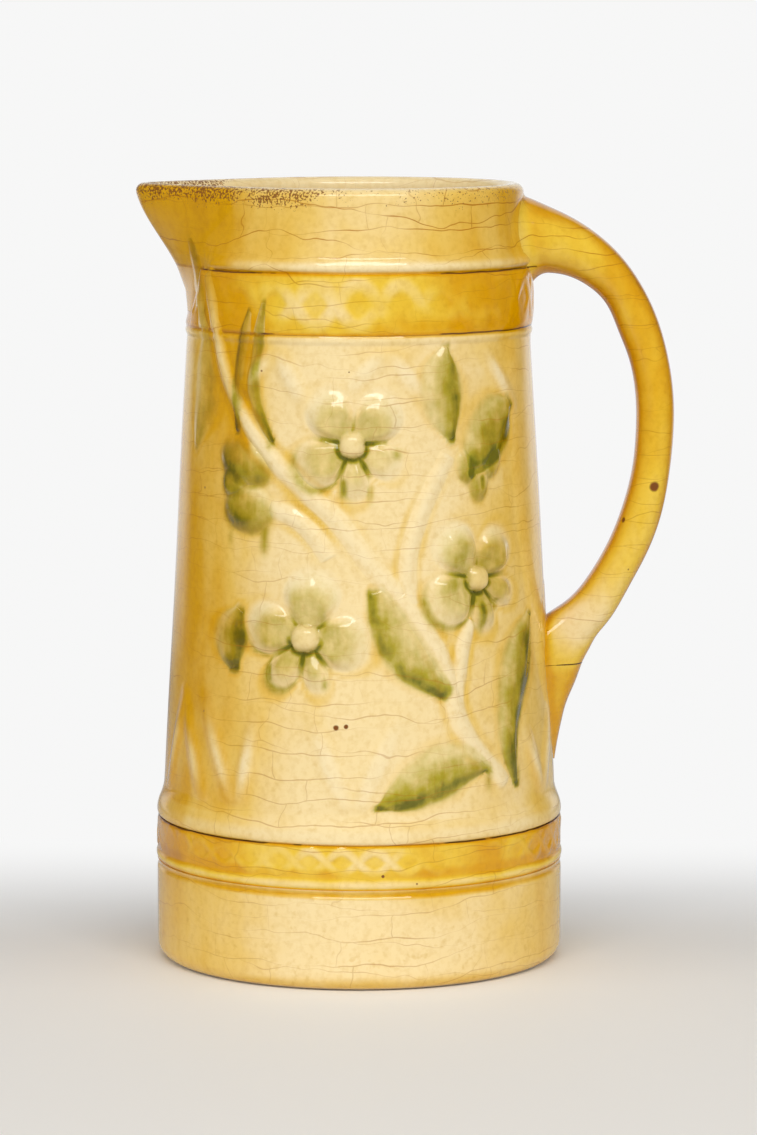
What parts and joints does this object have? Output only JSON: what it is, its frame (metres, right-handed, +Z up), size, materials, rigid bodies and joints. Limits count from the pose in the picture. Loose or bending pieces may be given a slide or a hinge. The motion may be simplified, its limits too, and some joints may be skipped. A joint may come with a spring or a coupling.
{
  "type": "pitcher",
  "caption": "Tall tapered earthenware pitcher with a beak spout, a loop handle and sprigged flowers, leaves and lattice bands, for holding and pouring drinks.",
  "frame": {"origin": "middle of the standing ring, on the plane that the jug stands on", "axes": "+Z up along the jug's axis, the spout towards -X, the handle towards +X, the side that the picture shows towards -Y"},
  "size_m": [0.1705, 0.1306, 0.2465],
  "materials": {
    "cream_glaze": "gloss crazed cream glaze",
    "gold_glaze": "gloss crazed golden yellow glaze",
    "green_glaze": "gloss olive green glaze, thin on the high spots",
    "bare_clay": "unglazed buff clay",
    "luting_slip": "fired slip in the joints"
  },
  "bodies": {
    "root": {"body_wall": "cream_glaze", "base_floor": "bare_clay", "lower_band_strip": "gold_glaze", "upper_band_strip": "gold_glaze", "pouring_spout": "cream_glaze", "handle": "gold_glaze", "handle_tail": "gold_glaze", "handle_upper_slip": "luting_slip", "handle_lower_slip": "luting_slip", "front_flower_upper": "cream_glaze", "front_flower_right": "cream_glaze", "front_flower_left": "cream_glaze", "front_bud_left": "green_glaze", "front_bud_right": "green_glaze", "front_calyx_right": "green_glaze", "front_leaf_top": "green_glaze", "front_leaf_middle": "green_glaze", "front_leaf_right": "green_glaze", "front_leaf_low": "green_glaze", "front_leaf_left": "green_glaze", "front_leaf_pair_outer": "green_glaze", "front_leaf_pair_inner": "green_glaze", "front_leaf_under_spout": "green_glaze", "front_stem_lower": "cream_glaze", "front_stem_upper": "cream_glaze", "front_stem_to_flower": "cream_glaze", "front_stem_to_leaf": "cream_glaze", "front_stem_to_bud": "cream_glaze", "back_flower_upper": "cream_glaze", "back_flower_right": "cream_glaze", "back_flower_left": "cream_glaze", "back_bud_left": "green_glaze", "back_bud_right": "green_glaze", "back_calyx_right": "green_glaze", "back_leaf_top": "green_glaze", "back_leaf_middle": "green_glaze", "back_leaf_right": "green_glaze", "back_leaf_low": "green_glaze", "back_leaf_left": "green_glaze", "back_leaf_pair_outer": "green_glaze", "back_leaf_pair_inner": "green_glaze", "back_leaf_under_spout": "green_glaze", "back_stem_lower": "cream_glaze", "back_stem_upper": "cream_glaze", "back_stem_to_flower": "cream_glaze", "back_stem_to_leaf": "cream_glaze", "back_stem_to_bud": "cream_glaze"}
  },
  "joints": []
}
